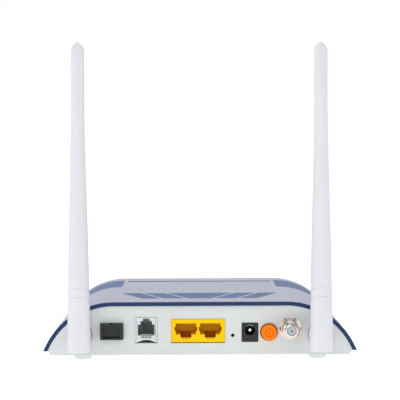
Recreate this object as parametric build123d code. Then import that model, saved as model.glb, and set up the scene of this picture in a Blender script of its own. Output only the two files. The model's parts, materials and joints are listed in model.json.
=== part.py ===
from build123d import *
import math
import os

# Optical network terminal: arched plastic case with a connector panel, two hinged aerials,
# a main board with its shields, sockets and switches, and the light guide of the indicators.
# Millimetres, +Z up. The drawing below has Y = 0 at the connector panel and +Y into the case,
# and save() moves every piece by FRAME_Y so that the origin lies under the middle of the box.

# ---------------------------------------------------------------- driving dimensions: case
CASE_HALF = 90.6
CASE_DEPTH = 121.5
CASE_HEIGHT = 30.15
FOOT_HEIGHT = 3.5
TOP_FLAT_HALF = 50.0
SHOULDER = (72.0, 23.9)
TIP_HEIGHT = 1.9
COVER_WALL = 2.25
COVER_FIT = 0.1
COVER_SETBACK = 1.8
CASE_WALL = 2.0
PANEL_WALL = 2.8
TRAY_LIP = 7.0
BEVEL_TOP = 2.7
BEVEL_SIDE = 3.0
FLOOR_HALF = 86.2
FLOOR_WALL = 2.2
FLOOR_CHAMFER = 1.7

CASE_BOTTOM = FOOT_HEIGHT
CASE_TOP = FOOT_HEIGHT + CASE_HEIGHT
FLOOR_TOP = CASE_BOTTOM + FLOOR_WALL

# ---------------------------------------------------------------- driving dimensions: board
BOARD_TOP = CASE_BOTTOM + 7.3
BOARD_WALL = 1.6
BOARD_HALF = 79.0
BOARD_FRONT = 3.4
BOARD_BACK = 112.0
BOARD_SCREWS = [(-74.0, 30.0), (74.0, 30.0), (-74.0, 106.0), (74.0, 106.0)]
BOARD_NOTCH = (5.9, 8.4)
CASE_SCREWS = [(-76.0, 60.0), (76.0, 60.0), (-42.0, 113.5), (42.0, 113.5)]
SCREW_REACH = CASE_BOTTOM + TRAY_LIP + 5.0

# ---------------------------------------------------------------- driving dimensions: sockets
SOCKET_DATUM = CASE_BOTTOM + 0.6
SOCKET_GAP = 0.15
FACE_PROUD = 0.4
SC_X, SC_Z = -50.8, SOCKET_DATUM + 13.05
SC_WIDTH, SC_HEIGHT, SC_DEPTH = 13.2, 9.4, 25.0
SC_BORE_W, SC_BORE_H = 9.3, 7.7
CAP_WIDTH, CAP_HEIGHT, CAP_PROUD = 12.7, 8.9, 3.4
CAP_PLUG_DEPTH = 8.0
PHONE_X, PHONE_WIDTH, PHONE_HEIGHT, PHONE_DEPTH = -30.95, 12.7, 14.2, 16.0
PHONE_WIRES, WIRE_PITCH = 6, 1.02
LAN_X, LAN_WIDTH, LAN_HEIGHT, LAN_DEPTH = -1.15, 30.7, 13.1, 17.0
LAN_PITCH = 13.97
RESET_X, RESET_Z, RESET_HOLE_R = 18.8, SOCKET_DATUM + 10.4, 1.05
JACK_X, JACK_WIDTH, JACK_HEIGHT, JACK_DEPTH = 28.7, 9.3, 10.9, 14.0
JACK_BORE_Z, JACK_BORE_R, JACK_PIN_R = SOCKET_DATUM + 13.4, 3.0, 1.0
BUTTON_X, BUTTON_Z, BUTTON_R = 39.6, SOCKET_DATUM + 12.3, 4.4
BUTTON_PROUD, BUTTON_TRAVEL, BUTTON_GAP = 3.4, 1.6, 0.7
COAX_X, COAX_Z, COAX_R = 51.9, SOCKET_DATUM + 14.5, 4.76
COAX_PROUD, COAX_LEAD_IN, COAX_BORE_R = 11.0, 1.1, 2.6
CONTACT_SUNK = 2.2
NUT_ACROSS_CORNERS, NUT_WALL = 12.9, 2.6

# ---------------------------------------------------------------- driving dimensions: aerials
AERIAL_X = 68.7
PIVOT_OUT = 10.5
PIVOT_Z = 15.2
AERIAL_R = 6.65
AERIAL_LOW = 7.4
AERIAL_TIP = 182.2
COLLAR_Z, BAND_Z, SLEEVE_Z = 26.3, 39.2, 44.2
SEAM, COLLAR_SEAM = 0.05, 0.02
SPLIT_SLOPE = 0.5
HEEL_R = 8.0
SPIGOT_R, SPIGOT_BORE, SPIGOT_TOP = 4.0, 2.3, 56.0
TONGUE_HALF, TONGUE_R = 2.5, 3.6
TONGUE_GAP = 0.3
PIN_R, PIN_HALF = 1.5, 5.6
PIN_FIT = 0.05
DISC_R, DISC_PROUD, DISC_RECESS_R, DISC_RECESS = 6.25, 2.0, 6.9, 0.9
SHAFT_R, SHAFT_END = 4.2, 7.0
AERIAL_SECTIONS = [(43.1, 12.1, 12.1), (81.1, 10.4, 9.6), (126.1, 7.7, 6.8), (182.2, 7.4, 5.4)]
PEAK_DROP = 3.2
RADIATOR_R = 1.0

# ---------------------------------------------------------------- driving dimensions: details
VENT_ROWS, VENT_PITCH, VENT_SLOT, VENT_Y = 9, 2.8, 1.5, 17.9
VENT_HALF_NEAR, VENT_HALF_FAR = 34.6, 46.8
BRIDGE = 1.5
BRIDGES_NEAR, BRIDGES_FAR = (8.2, 22.8), (20.1, 34.3)
GUIDE_Y, GUIDE_HALF, GUIDE_WIDTH, GUIDE_SUNK = 100.3, 46.8, 3.0, 0.25
LED_COUNT, LED_PITCH = 10, 9.2
FOOT_X, FOOT_FRONT_Y, FOOT_BACK_Y = 68.3, 10.2, 108.0
FOOT_R_TOP, FOOT_R_BOTTOM = 6.0, 4.6

FRAME_Y = (PIVOT_OUT + AERIAL_R - CASE_DEPTH) / 2


# ---------------------------------------------------------------- helpers
def save(shape, name):
    """Write one piece, moved into the frame that all pieces share."""
    export_step(Pos(0, FRAME_Y, 0) * shape, "parts/" + name + ".step")


def block(x0, x1, y0, y1, z0, z1):
    return Pos((x0 + x1) / 2, (y0 + y1) / 2, (z0 + z1) / 2) * Box(x1 - x0, y1 - y0, z1 - z0)


def centred(x, half, y0, y1, z0, z1):
    return block(x - half, x + half, y0, y1, z0, z1)


def rod_x(y, z, r, x0, x1):
    return Pos((x0 + x1) / 2, y, z) * Rot(0, 90, 0) * Cylinder(r, x1 - x0)


def rod_y(x, z, r, y0, y1):
    return Pos(x, (y0 + y1) / 2, z) * Rot(90, 0, 0) * Cylinder(r, y1 - y0)


def rod_z(x, y, r, z0, z1):
    return Pos(x, y, (z0 + z1) / 2) * Cylinder(r, z1 - z0)


def prism(sketch, y0, y1):
    """Extrude an X-Z outline from y0 to y1."""
    return extrude(Plane.XZ.offset(-y0) * sketch, amount=y0 - y1)


def group(*solids):
    return Compound(children=[solid for solid in solids])


def mirrored(solid):
    return mirror(solid, about=Plane.YZ)


# ---------------------------------------------------------------- case outline
def arch(inset=0.0, squeeze=0.0):
    """The case's arched outline, shrunk by inset, narrowed by squeeze at each side."""
    low = -10.0
    top = Line((-TOP_FLAT_HALF, CASE_HEIGHT), (TOP_FLAT_HALF, CASE_HEIGHT))
    upper = TangentArc((TOP_FLAT_HALF, CASE_HEIGHT), SHOULDER, tangent=(1, 0))
    lower = TangentArc(SHOULDER, (CASE_HALF, TIP_HEIGHT), tangent=upper % 1)
    side = Line((CASE_HALF, TIP_HEIGHT), (CASE_HALF, low))
    base = Line((CASE_HALF, low), (-CASE_HALF, low))
    others = [mirror(edge, about=Plane.YZ) for edge in (upper, lower, side)]
    face = make_face([top, upper, lower, side, base] + others)
    if inset:
        face = offset(face, amount=-inset, kind=Kind.INTERSECTION)
    if squeeze:
        face = scale(face, by=((CASE_HALF - squeeze) / CASE_HALF, 1, 1))
    return Pos(0, CASE_BOTTOM) * face


def top_cover():
    """Arched shell with the vent rows and the slot of the light guide."""
    ring = arch() - arch(COVER_WALL)
    shell = prism(ring, COVER_SETBACK, CASE_DEPTH - COVER_SETBACK)
    shell -= block(-100, 100, -5, CASE_DEPTH + 5, -20, CASE_BOTTOM + TIP_HEIGHT)
    shell -= group(*vent_slots())
    inside = prism(arch(COVER_WALL - 0.4), COVER_SETBACK, CASE_DEPTH - COVER_SETBACK)
    for x, y in CASE_SCREWS:
        shell += rod_z(x, y, 2.8, CASE_BOTTOM + TRAY_LIP + 0.1, CASE_TOP) & inside
        shell -= rod_z(x, y, 1.25, CASE_BOTTOM, SCREW_REACH + 1.0)
    return shell - centred(0, GUIDE_HALF, GUIDE_Y, GUIDE_Y + GUIDE_WIDTH, CASE_TOP - 5, CASE_TOP + 1)


def vent_slots():
    """Rows of slots whose ends step outwards, broken by bridges in diagonal lines."""
    slots = []
    for row in range(VENT_ROWS):
        share = row / (VENT_ROWS - 1)
        y = VENT_Y + row * VENT_PITCH
        half = VENT_HALF_NEAR + share * (VENT_HALF_FAR - VENT_HALF_NEAR)
        breaks = [near + share * (far - near) for near, far in zip(BRIDGES_NEAR, BRIDGES_FAR)]
        stops = [-half] + [-x for x in reversed(breaks)] + breaks + [half]
        for left, right in zip(stops[:-1], stops[1:]):
            x0 = left + (BRIDGE / 2 if left != -half else 0)
            x1 = right - (BRIDGE / 2 if right != half else 0)
            slots.append(block(x0, x1, y, y + VENT_SLOT, CASE_TOP - 4, CASE_TOP + 1))
    return slots


def bevelled_body():
    """The lower case's outer form, whose two end panels have rounded-off rims."""
    skin = COVER_WALL + COVER_FIT
    rims = [(0.0, BEVEL_TOP, BEVEL_SIDE), (0.5, BEVEL_TOP * 0.42, BEVEL_SIDE * 0.42), (COVER_SETBACK, 0.0, 0.0)]
    body = prism(arch(skin), COVER_SETBACK, CASE_DEPTH - COVER_SETBACK)
    for y_end, way in ((0.0, 1), (CASE_DEPTH, -1)):
        faces = [
            Plane.XZ.offset(-(y_end + way * depth)) * arch(skin + inset, squeeze)
            for depth, inset, squeeze in rims
        ]
        body += loft(Sketch() + [face.faces()[0] for face in faces], ruled=True)
    edge = FLOOR_HALF + FLOOR_CHAMFER
    lower = Polygon(
        (-FLOOR_HALF, 0), (FLOOR_HALF, 0), (edge, FLOOR_WALL), (edge, 40), (-edge, 40), (-edge, FLOOR_WALL),
        align=None,
    )
    return body & prism(Pos(0, CASE_BOTTOM) * lower, -5, CASE_DEPTH + 5)


def panel_openings():
    """Everything that the connector panel is cut for."""
    gap = SOCKET_GAP
    y0, y1 = -1.0, PANEL_WALL + 0.5
    return [
        centred(SC_X, SC_WIDTH / 2 + gap, y0, y1, SC_Z - SC_HEIGHT / 2 - gap, SC_Z + SC_HEIGHT / 2 + gap),
        centred(PHONE_X, PHONE_WIDTH / 2 + gap, y0, y1, BOARD_TOP - 0.6, BOARD_TOP + PHONE_HEIGHT + gap),
        centred(LAN_X, LAN_WIDTH / 2 + gap, y0, y1, BOARD_TOP - 0.6, BOARD_TOP + LAN_HEIGHT + gap),
        rod_y(RESET_X, RESET_Z, RESET_HOLE_R, y0, y1),
        centred(JACK_X, JACK_WIDTH / 2 + gap, y0, y1, BOARD_TOP - gap, BOARD_TOP + JACK_HEIGHT + gap),
        rod_y(BUTTON_X, BUTTON_Z, BUTTON_R + BUTTON_GAP, y0, y1),
        rod_y(COAX_X, COAX_Z, COAX_R + 0.2, y0, y1),
    ]


def bottom_case():
    """Tray with the connector panel, the far end panel, bosses, floor vents and screw holes."""
    skin = COVER_WALL + COVER_FIT + CASE_WALL
    hollow = prism(arch(skin), PANEL_WALL, CASE_DEPTH - PANEL_WALL)
    hollow -= block(-100, 100, -5, CASE_DEPTH + 5, -20, FLOOR_TOP)
    lip = CASE_BOTTOM + TRAY_LIP
    case = bevelled_body() - hollow
    case -= block(-100, 100, PANEL_WALL, CASE_DEPTH - PANEL_WALL, lip, CASE_TOP + 5)
    for x, y in BOARD_SCREWS:
        case += rod_z(x, y, 3.0, FLOOR_TOP - 0.5, BOARD_TOP - BOARD_WALL)
        case -= rod_z(x, y, 0.9, CASE_BOTTOM + 1.0, BOARD_TOP)
    for x, y in CASE_SCREWS:
        case += rod_z(x, y, 3.4, FLOOR_TOP - 0.5, CASE_BOTTOM + TRAY_LIP)
        case -= rod_z(x, y, 1.6, CASE_BOTTOM - 1, CASE_TOP)
        case -= rod_z(x, y, 2.9, CASE_BOTTOM - 1, CASE_BOTTOM + 2.6)
    for cut in panel_openings():
        case -= cut
    for side in (-1, 1):
        case -= rod_y(side * AERIAL_X, PIVOT_Z, DISC_RECESS_R, -1, DISC_RECESS)
        case -= rod_y(side * AERIAL_X, PIVOT_Z, SHAFT_R + PIN_FIT, -1, PANEL_WALL + 1)
    for column in range(13):
        for half in (-1, 1):
            x, y = -48.0 + 8.0 * column, 60 + half * 28
            case -= centred(x, 1.2, y - 11, y + 11, CASE_BOTTOM - 1, FLOOR_TOP + 1)
    return case - centred(0, 24.5, 44.5, 75.5, CASE_BOTTOM - 1, CASE_BOTTOM + 0.4)


def case_screws():
    screws = []
    for x, y in CASE_SCREWS:
        head = rod_z(x, y, 2.6, CASE_BOTTOM + 0.8, CASE_BOTTOM + 2.6)
        shank = rod_z(x, y, 1.2, CASE_BOTTOM + 2.6, SCREW_REACH)
        cross = centred(x, 0.35, y - 1.5, y + 1.5, 0, CASE_BOTTOM + 1.6)
        cross += centred(x, 1.5, y - 0.35, y + 0.35, 0, CASE_BOTTOM + 1.6)
        screws.append(head + shank - cross)
    return group(*screws)


def board_screws():
    screws = []
    for x, y in BOARD_SCREWS:
        head = rod_z(x, y, 2.4, BOARD_TOP, BOARD_TOP + 1.6)
        shank = rod_z(x, y, 0.9, CASE_BOTTOM + 1.2, BOARD_TOP)
        cross = centred(x, 0.3, y - 1.4, y + 1.4, BOARD_TOP + 0.7, BOARD_TOP + 2)
        cross += centred(x, 1.4, y - 0.3, y + 0.3, BOARD_TOP + 0.7, BOARD_TOP + 2)
        screws.append(head + shank - cross)
    return group(*screws)


def feet():
    pads = []
    for side in (-1, 1):
        for y in (FOOT_FRONT_Y, FOOT_BACK_Y):
            pad = Pos(side * FOOT_X, y, FOOT_HEIGHT / 2) * Cone(FOOT_R_BOTTOM, FOOT_R_TOP, FOOT_HEIGHT)
            pads.append(fillet(pad.edges().group_by(Axis.Z)[0], 0.5))
    return group(*pads)


def rating_label():
    return centred(0, 24.0, 45.0, 75.0, CASE_BOTTOM + 0.15, CASE_BOTTOM + 0.4)


# ---------------------------------------------------------------- indicators
def light_guide():
    y0, y1 = GUIDE_Y + 0.15, GUIDE_Y + GUIDE_WIDTH - 0.15
    bar = centred(0, GUIDE_HALF - 0.15, y0, y1, CASE_TOP - 3.4, CASE_TOP - GUIDE_SUNK)
    for x in led_places():
        bar += centred(x, 1.4, y0, y1, BOARD_TOP + 3.0, CASE_TOP - 3.3)
    return bar


def led_places():
    return [(i - (LED_COUNT - 1) / 2) * LED_PITCH for i in range(LED_COUNT)]


def leds():
    y = GUIDE_Y + GUIDE_WIDTH / 2
    return group(*[centred(x, 1.0, y - 0.8, y + 0.8, BOARD_TOP, BOARD_TOP + 1.2) for x in led_places()])


# ---------------------------------------------------------------- board and what it carries
def main_board():
    board = block(-BOARD_HALF, BOARD_HALF, BOARD_FRONT, BOARD_BACK, BOARD_TOP - BOARD_WALL, BOARD_TOP)
    board = fillet(board.edges().filter_by(Axis.Z), 2.0)
    for x, y in BOARD_SCREWS:
        board -= rod_z(x, y, 1.1, 0, BOARD_TOP + 1)
    for x, y in CASE_SCREWS:
        board -= rod_z(x, y, 4.2, 0, BOARD_TOP + 1)
    half, depth = BOARD_NOTCH
    for side in (-1, 1):
        board -= centred(side * AERIAL_X, half, 0, depth, 0, BOARD_TOP + 1)
    return board


def shield_can(x0, x1, y0, y1, height):
    """A pressed tin lid over part of the board."""
    can = block(x0, x1, y0, y1, BOARD_TOP, BOARD_TOP + height)
    can = fillet(can.edges().filter_by(Axis.Z), 1.0)
    can = chamfer(can.faces().sort_by(Axis.Z)[-1].edges(), 0.4)
    return can - block(x0 + 0.4, x1 - 0.4, y0 + 0.4, y1 - 0.4, BOARD_TOP - 1, BOARD_TOP + height - 0.4)


def chip(x, y, wide, deep, tall):
    body = Pos(x, y, BOARD_TOP + tall / 2) * Box(wide, deep, tall)
    return chamfer(body.faces().sort_by(Axis.Z)[-1].edges(), 0.2)


def heat_sink():
    base = Pos(2, 62, BOARD_TOP + 3.0) * Box(26, 26, 2)
    for i in range(9):
        base += Pos(2 - 12 + 3 * i, 62, BOARD_TOP + 6.9) * Box(1.2, 26, 6)
    return base


def capacitors():
    cans = []
    for x, y, r, tall in ((30, 30, 4, 11), (40, 31, 4, 11), (55, 44, 3.1, 9), (55, 54, 3.1, 9), (28, 42, 2.5, 7)):
        can = rod_z(x, y, r, BOARD_TOP, BOARD_TOP + tall)
        cans.append(fillet(can.edges().group_by(Axis.Z)[-1], 0.4))
    return group(*cans)


def inductors():
    coils = []
    for x, y in ((46, 44), (36, 54)):
        coil = Pos(x, y, BOARD_TOP + 2) * Box(8, 8, 4)
        coils.append(chamfer(coil.edges().filter_by(Axis.Z), 1.2))
    return group(*coils)


# ---------------------------------------------------------------- fibre port
def sc_adapter():
    z0, z1 = SC_Z - SC_HEIGHT / 2, SC_Z + SC_HEIGHT / 2
    body = centred(SC_X, SC_WIDTH / 2, -FACE_PROUD, SC_DEPTH, z0, z1)
    body = chamfer(body.edges().filter_by(Axis.Y), 0.3)
    bore = centred(SC_X, SC_BORE_W / 2, -1, SC_DEPTH + 1, SC_Z - SC_BORE_H / 2, SC_Z + SC_BORE_H / 2)
    key = centred(SC_X, 1.2, -1, 9, SC_Z, z1 + 1)
    foot = centred(SC_X, 4.0, 8, 20, BOARD_TOP, z0 + 0.1)
    return body + foot - bore - key


def sc_ferrule_sleeve():
    holder = centred(SC_X, SC_BORE_W / 2, 13, 14.6, SC_Z - SC_BORE_H / 2, SC_Z + SC_BORE_H / 2)
    tube = rod_y(SC_X, SC_Z, 1.7, 9.5, 18.5)
    return holder + tube - rod_y(SC_X, SC_Z, 1.25, 9, 19)


def fibre_plug():
    body = centred(SC_X, 3.6, 19.5, 30, SC_Z - 3.2, SC_Z + 3.2)
    tip = rod_y(SC_X, SC_Z, 1.2, 14.0, 19.6)
    boot = Pos(SC_X, 34, SC_Z) * Rot(-90, 0, 0) * Cone(2.4, 1.2, 8)
    return body + tip + boot


def fibre_pigtail():
    """The internal fibre: out of the plug, round a wide bend and into the optical module."""
    z = SC_Z
    with BuildLine() as route:
        FilletPolyline(
            (SC_X, 38.0, z), (SC_X, 84.0, z), (-22.0, 84.0, z), (-22.0, 57.0, z), radius=13.0
        )
    start = Plane(origin=route.line @ 0, z_dir=route.line % 0)
    return sweep(start * Circle(0.45), path=route.line)


def optical_module():
    body = block(-30, -14, 36, 50, BOARD_TOP, BOARD_TOP + 5)
    barrel = rod_y(-22, SC_Z, 2.6, 44, 57)
    cradle = block(-26, -18, 46, 50, BOARD_TOP + 4.9, SC_Z + 1.5)
    return body + cradle + barrel


def fibre_clips():
    clips = []
    for x, y in ((SC_X, 56.0), (-36.4, 84.0)):
        along_x = y > 80
        clip = Pos(x, y, (BOARD_TOP + SC_Z + 2) / 2) * Box(3, 3, SC_Z + 2 - BOARD_TOP)
        hole = rod_x(y, SC_Z, 0.6, x - 3, x + 3) if along_x else rod_y(x, SC_Z, 0.6, y - 3, y + 3)
        clips.append(clip - hole)
    return group(*clips)


def sc_dust_cap():
    """Cap with a sunk face and a hollow plug that slides into the adapter."""
    front = centred(SC_X, CAP_WIDTH / 2, -CAP_PROUD, -FACE_PROUD - 0.1, SC_Z - CAP_HEIGHT / 2, SC_Z + CAP_HEIGHT / 2)
    front = fillet(front.edges().filter_by(Axis.Y), 0.4)
    front -= centred(SC_X, CAP_WIDTH / 2 - 1.5, -CAP_PROUD - 1, -CAP_PROUD + 1.4, SC_Z - 3.5, SC_Z + 3.3)
    front -= centred(SC_X, CAP_WIDTH / 2 - 1.5, -CAP_PROUD, -FACE_PROUD - 0.4, SC_Z - 3.5, SC_Z - 2.8)
    front -= centred(SC_X, 1.0, -CAP_PROUD - 1, 0, SC_Z + CAP_HEIGHT / 2 - 0.45, SC_Z + CAP_HEIGHT)
    plug = centred(SC_X, SC_BORE_W / 2 - 0.3, -FACE_PROUD - 0.2, CAP_PLUG_DEPTH,
                   SC_Z - SC_BORE_H / 2 + 0.3, SC_Z + SC_BORE_H / 2 - 0.3)
    plug -= centred(SC_X, 2.6, 0.8, CAP_PLUG_DEPTH + 1, SC_Z - 2.4, SC_Z + 2.4)
    key = centred(SC_X, 0.85, -FACE_PROUD - 0.2, CAP_PLUG_DEPTH - 1, SC_Z + 3.4, SC_Z + SC_HEIGHT / 2 - 0.3)
    return front + plug + key


# ---------------------------------------------------------------- telephone socket
def phone_housing():
    body = centred(PHONE_X, PHONE_WIDTH / 2, -FACE_PROUD, PHONE_DEPTH, BOARD_TOP, BOARD_TOP + PHONE_HEIGHT)
    mouth = centred(PHONE_X, 4.8, -1, 13.0, SOCKET_DATUM + 10.6, SOCKET_DATUM + 17.0)
    mouth += centred(PHONE_X, 3.3, -1, 13.0, SOCKET_DATUM + 16.9, SOCKET_DATUM + 19.0)
    mouth += centred(PHONE_X, 1.95, -1, 10.0, SOCKET_DATUM + 18.9, SOCKET_DATUM + 20.4)
    body -= mouth
    for x in phone_wire_places():
        body -= centred(x, 0.32, -1, 2.2, SOCKET_DATUM + 8.9, SOCKET_DATUM + 10.7)
    for side in (-1, 1):
        body -= centred(PHONE_X + side * 5.35, 0.2, -1, 0.5, BOARD_TOP + 1.0, BOARD_TOP + PHONE_HEIGHT - 0.9)
    return body - rod_y(PHONE_X, BOARD_TOP - 8.6, 10.0, -1, 12)


def phone_wire_places():
    return [PHONE_X + (i - (PHONE_WIRES - 1) / 2) * WIRE_PITCH for i in range(PHONE_WIRES)]


def phone_contacts():
    """Spring wires that rise from the socket's floor."""
    wires = []
    for x in phone_wire_places():
        z = SOCKET_DATUM + 11.0
        with BuildLine() as route:
            FilletPolyline((x, 0.6, z), (x, 3.4, z), (x, 10.4, z + 5.4), radius=2.6)
        start = Plane(origin=route.line @ 0, z_dir=route.line % 0)
        wires.append(sweep(start * Circle(0.22), path=route.line))
    return group(*wires)


# ---------------------------------------------------------------- network sockets
def lan_centres():
    return [LAN_X - LAN_PITCH / 2, LAN_X + LAN_PITCH / 2]


def lan_housing():
    body = centred(LAN_X, LAN_WIDTH / 2, -FACE_PROUD, LAN_DEPTH, BOARD_TOP, BOARD_TOP + LAN_HEIGHT)
    body = fillet(body.edges().filter_by(Axis.Y), 0.25)
    for x in lan_centres():
        body -= centred(x, 5.85, -1, 13.5, SOCKET_DATUM + 11.0, SOCKET_DATUM + 17.5)
        body -= centred(x, 6.5, -1, 8.0, SOCKET_DATUM + 13.0, SOCKET_DATUM + 15.6)
        body -= centred(x, 3.1, -1, 12.0, SOCKET_DATUM + 9.2, SOCKET_DATUM + 11.1)
        body -= centred(x, 3.1, 0.9, 12.0, BOARD_TOP + 0.8, SOCKET_DATUM + 9.3)
        body -= centred(x, 2.0, -1, 0.6, SOCKET_DATUM + 8.4, SOCKET_DATUM + 9.3)
    return body


def lan_contacts():
    """Eight spring wires under the roof of each socket."""
    wires = []
    for centre in lan_centres():
        for i in range(8):
            x = centre - 3.57 + WIRE_PITCH * i
            wires.append(Pos(x, 7.8, SOCKET_DATUM + 16.35) * Rot(90 - 9, 0, 0) * Cylinder(0.2, 9.5))
    return group(*wires)


# ---------------------------------------------------------------- power inlet
def jack_housing():
    body = centred(JACK_X, JACK_WIDTH / 2, -FACE_PROUD, JACK_DEPTH, BOARD_TOP, BOARD_TOP + JACK_HEIGHT)
    body = fillet(body.edges().filter_by(Axis.Y), 0.25)
    return body - rod_y(JACK_X, JACK_BORE_Z, JACK_BORE_R, -1, 10.0)


def jack_pin():
    pin = rod_y(JACK_X, JACK_BORE_Z, JACK_PIN_R, 0.4, 10.0)
    return fillet(pin.edges().group_by(Axis.Y)[0], 0.5)


def jack_spring():
    """Sleeve contact: a curved leaf along the roof of the bore."""
    ring = rod_y(JACK_X, JACK_BORE_Z, JACK_BORE_R - 0.05, 1.6, 9.8)
    ring -= rod_y(JACK_X, JACK_BORE_Z, JACK_BORE_R - 0.4, 1, 10)
    return ring & centred(JACK_X, 1.7, 1, 10, JACK_BORE_Z, JACK_BORE_Z + 4)


# ---------------------------------------------------------------- switches
def power_button():
    cap = rod_y(BUTTON_X, BUTTON_Z, BUTTON_R, -BUTTON_PROUD, PANEL_WALL + 1.2)
    cap = fillet(cap.edges().group_by(Axis.Y)[0], 0.45)
    cap += rod_y(BUTTON_X, BUTTON_Z, BUTTON_R + 0.9, PANEL_WALL + 0.3, PANEL_WALL + 1.2)
    return cap + rod_y(BUTTON_X, BUTTON_Z, 1.5, PANEL_WALL + 1.1, 12.0)


def power_switch():
    body = centred(BUTTON_X, 4.4, 6.4, 19.0, BOARD_TOP, BUTTON_Z + 3.4)
    return body - rod_y(BUTTON_X, BUTTON_Z, 1.5 + PIN_FIT, 6, 12.0 + BUTTON_TRAVEL + 0.5)


def reset_switch():
    body = centred(RESET_X, 2.8, 6.6, 10.6, BOARD_TOP, RESET_Z + 2.8)
    return body - rod_y(RESET_X, RESET_Z, 1.2 + PIN_FIT, 6, 8.6)


def reset_plunger():
    return rod_y(RESET_X, RESET_Z, 1.2, 5.0, 8.0)


# ---------------------------------------------------------------- coaxial socket
def coax_body():
    barrel = rod_y(COAX_X, COAX_Z, COAX_R, -COAX_PROUD, -NUT_WALL - 0.1)
    barrel = chamfer(barrel.edges().group_by(Axis.Y)[0], COAX_LEAD_IN)
    barrel += rod_y(COAX_X, COAX_Z, COAX_R - 0.16, -NUT_WALL - 0.1, 8.0)
    barrel += centred(COAX_X, 5.6, 3.2, 15.0, BOARD_TOP, COAX_Z + 5.2)
    return barrel - rod_y(COAX_X, COAX_Z, COAX_BORE_R, -COAX_PROUD - 1, 12.0)


def coax_nut():
    nut = extrude(RegularPolygon(NUT_ACROSS_CORNERS / 2, 6), amount=NUT_WALL)
    crown = Cone(NUT_ACROSS_CORNERS / 2 + 1.6, NUT_ACROSS_CORNERS / 2 - 1.0, NUT_WALL, align=(Align.CENTER,) * 2 + (Align.MIN,))
    nut = nut & crown
    washer = Pos(0, 0, -0.05) * Cylinder(NUT_ACROSS_CORNERS / 2, 0.7, align=(Align.CENTER,) * 2 + (Align.MIN,))
    nut = Pos(COAX_X, -0.05, COAX_Z) * Rot(90, 0, 0) * (nut + washer)
    return nut - rod_y(COAX_X, COAX_Z, COAX_R - 0.12, -10, 10)


def coax_dielectric():
    disc = rod_y(COAX_X, COAX_Z, COAX_BORE_R - 0.1, -COAX_PROUD + 0.4, 11.8)
    disc -= rod_y(COAX_X, COAX_Z, 0.75, -COAX_PROUD, -COAX_PROUD + CONTACT_SUNK)
    return disc - rod_y(COAX_X, COAX_Z, 0.55, -COAX_PROUD, 12)


def coax_contact():
    tube = rod_y(COAX_X, COAX_Z, 0.5, -COAX_PROUD + CONTACT_SUNK - 0.4, 11.5)
    return tube - rod_y(COAX_X, COAX_Z, 0.3, -COAX_PROUD, 4)


# ---------------------------------------------------------------- aerials (right side; the left is its mirror)
def under_split(z_front):
    """Everything below the slanted parting line whose front lies at z_front."""
    front = -PIVOT_OUT - AERIAL_R - 2
    back = -PIVOT_OUT + AERIAL_R + 2
    z_near = z_front + 2 * SPLIT_SLOPE
    z_far = z_near - (back - front) * SPLIT_SLOPE
    face = make_face(Polyline((front, z_near), (back, z_far), (back, -5), (front, -5), (front, z_near)))
    return Pos(AERIAL_X - 10, 0, 0) * extrude(Plane.YZ * face, amount=20)


def aerial_form():
    """The outer form of the whole aerial: a round foot that thins into a flattened blade."""
    foot = Pos(AERIAL_X, -PIVOT_OUT, 0) * loft([
        Pos(0, 0, AERIAL_LOW) * Circle(AERIAL_R),
        Pos(0, 0, AERIAL_SECTIONS[0][0]) * Circle(AERIAL_SECTIONS[0][1] / 2),
    ])
    foot = fillet(foot.edges().group_by(Axis.Z)[0], 0.6)
    blade = loft([Pos(0, 0, z) * Ellipse(wide / 2, deep / 2) for z, wide, deep in AERIAL_SECTIONS])
    half = AERIAL_R + 1
    shoulder = AERIAL_TIP - PEAK_DROP
    tip_half = AERIAL_SECTIONS[-1][1] / 2
    left = ThreePointArc((-tip_half, shoulder), (-tip_half * 0.62, AERIAL_TIP - 1.3), (0, AERIAL_TIP))
    right = ThreePointArc((0, AERIAL_TIP), (tip_half * 0.62, AERIAL_TIP - 1.3), (tip_half, shoulder))
    sides = Polyline((tip_half, shoulder), (half, shoulder), (half, 30), (-half, 30), (-half, shoulder),
                     (-tip_half, shoulder))
    blade = blade & prism(make_face([left, right, sides]), -10, 10)
    return foot, Pos(AERIAL_X, -PIVOT_OUT, 0) * blade


def aerial_base(foot):
    """Hinge housing: slot for the knuckle's tongue, round heel, pin hole and spigot."""
    y = -PIVOT_OUT
    base = foot & block(50, 90, -30, 5, 0, COLLAR_Z - COLLAR_SEAM)
    heel = rod_x(y, PIVOT_Z, HEEL_R, 50, 90) + block(50, 90, -30, y, 0, 60) + block(50, 90, -30, 5, PIVOT_Z, 60)
    base = base & heel
    base += rod_z(AERIAL_X, y, SPIGOT_R, COLLAR_Z - 1, SPIGOT_TOP)
    base -= rod_z(AERIAL_X, y, SPIGOT_BORE, COLLAR_Z - 1, SPIGOT_TOP + 1)
    clear = TONGUE_R + TONGUE_GAP
    base -= centred(AERIAL_X, TONGUE_HALF + TONGUE_GAP, y, 5, 0, PIVOT_Z + clear)
    base -= centred(AERIAL_X, TONGUE_HALF + TONGUE_GAP, y - clear, y + 0.1, 0, PIVOT_Z)
    base -= rod_x(y, PIVOT_Z, clear, AERIAL_X - TONGUE_HALF - TONGUE_GAP, AERIAL_X + TONGUE_HALF + TONGUE_GAP)
    return base - rod_x(y, PIVOT_Z, PIN_R, AERIAL_X - PIN_HALF, AERIAL_X + PIN_HALF)


def bored(solid):
    return solid - rod_z(AERIAL_X, -PIVOT_OUT, SPIGOT_R + 0.05, 0, SPIGOT_TOP + 1)


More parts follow.
